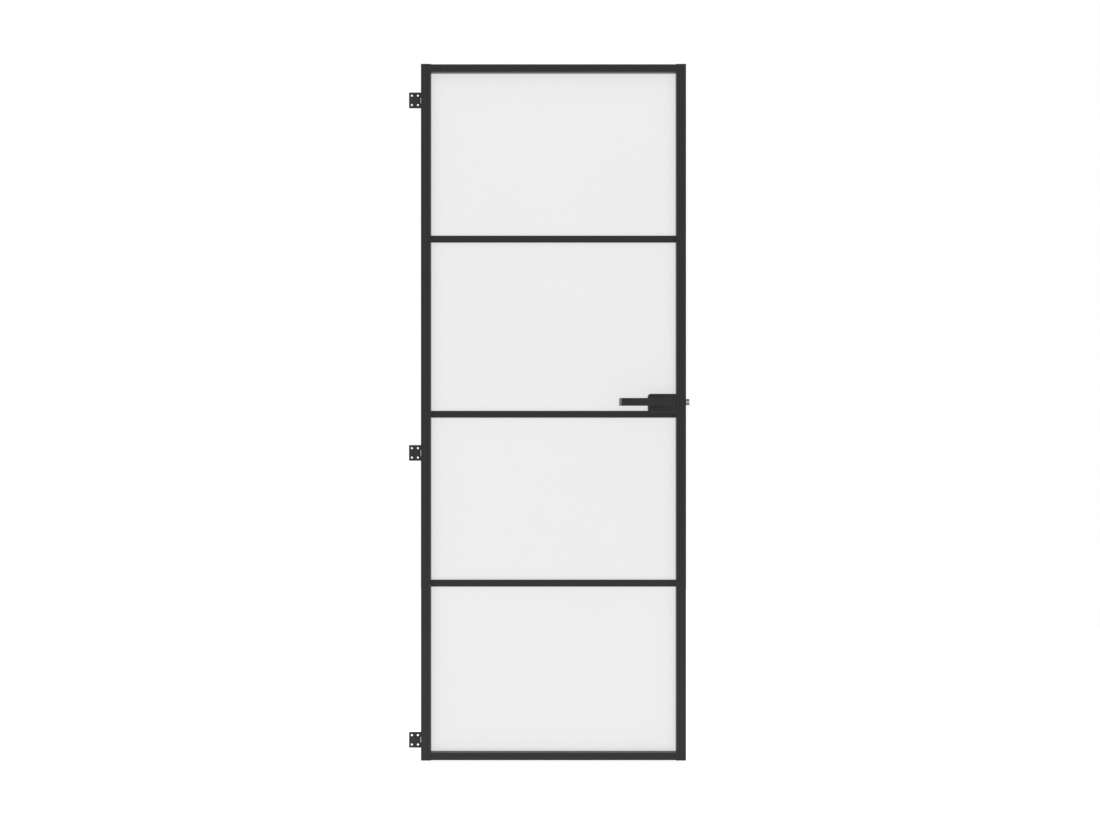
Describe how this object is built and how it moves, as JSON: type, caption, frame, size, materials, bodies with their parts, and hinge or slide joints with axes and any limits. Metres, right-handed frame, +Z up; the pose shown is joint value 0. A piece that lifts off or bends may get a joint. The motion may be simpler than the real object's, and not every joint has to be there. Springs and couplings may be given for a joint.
{
  "type": "glass door",
  "caption": "Slim black aluminium door leaf with one frosted glass pane, glued bars on both faces, barrel hinges and a lever-worked latch.",
  "frame": {"origin": "middle of the bottom jamb plate's four holes, on the face that lies against the jamb", "axes": "+Z up, +X from the hinges to the latch, +Y the side that the hinges are on and that the leaf opens towards; -Y is the side seen in the picture"},
  "size_m": [0.8189, 0.136, 2.015],
  "materials": {
    "black_paint": "satin black powder coat on aluminium",
    "black_plastic": "matt black moulded nylon",
    "frosted_glass": "milky satin-etched toughened glass",
    "black_rubber": "matt black rubber",
    "black_steel": "black coated steel",
    "black_cover": "satin black powder coat on die-cast zinc",
    "lever_finish": "satin black coat on aluminium",
    "bright_steel": "nickel-plated steel",
    "zinc_steel": "zinc-plated steel",
    "white_nylon": "natural nylon"
  },
  "bodies": {
    "jamb_side": {"jamb_plate_top": "black_steel", "jamb_plate_middle": "black_steel", "jamb_plate_bottom": "black_steel", "hinge_pin_top": "bright_steel", "hinge_pin_middle": "bright_steel", "hinge_pin_bottom": "bright_steel", "hinge_washers": "white_nylon"},
    "door_leaf": {"hinge_stile": "black_paint", "lock_stile": "black_paint", "top_rail": "black_paint", "bottom_rail": "black_paint", "stile_end_caps": "black_plastic", "corner_screws": "zinc_steel", "access_plugs": "black_plastic", "glass_pane": "frosted_glass", "hinge_side_gasket": "black_rubber", "lock_side_gasket": "black_rubber", "top_gasket": "black_rubber", "bottom_gasket": "black_rubber", "front_top_bar": "black_paint", "front_middle_bar": "black_paint", "front_bottom_bar": "black_paint", "back_top_bar": "black_paint", "back_middle_bar": "black_paint", "back_bottom_bar": "black_paint", "bar_tapes": "black_rubber", "hinge_plate_top": "black_steel", "hinge_plate_middle": "black_steel", "hinge_plate_bottom": "black_steel", "hinge_backing_plates": "zinc_steel", "hinge_screws": "black_steel", "front_lock_cover": "black_cover", "back_lock_cover": "black_cover", "cover_pads": "black_rubber", "cover_bolts": "black_steel", "latch_case": "zinc_steel", "latch_faceplate": "black_steel", "faceplate_screws": "black_steel", "lever_bushes": "black_plastic", "latch_spring": "bright_steel", "lever_springs": "bright_steel"},
    "lever_set": {"front_lever": "lever_finish", "back_lever": "lever_finish", "spindle": "zinc_steel", "lever_cam": "zinc_steel", "lever_set_screws": "zinc_steel"},
    "latch": {"latch_bolt": "bright_steel", "bolt_strip": "white_nylon", "latch_tail": "zinc_steel"}
  },
  "joints": [
    {"name": "leaf_swing", "type": "hinge", "parent": "jamb_side", "child": "door_leaf", "pos_m": [0.0222, 0.0054, 0.8403], "axis": [0, 0, 1], "range_deg": [0, 170]},
    {"name": "lever_turn", "type": "hinge", "parent": "door_leaf", "child": "lever_set", "pos_m": [0.7292, -0.02, 0.9889], "axis": [0, -1, 0], "range_deg": [0, 50], "stiffness_Nm_per_rad": 1.2, "springref_deg": -28.65, "deforming": ["lever_springs"]},
    {"name": "latch_slide", "type": "slide", "parent": "door_leaf", "child": "latch", "axis": [-1, 0, 0], "range_m": [0, 0.012], "deforming": ["latch_spring"]}
  ],
  "couplings": [
    {"joint": "latch_slide", "follows": "lever_turn", "m_per_rad": 0.01356}
  ]
}
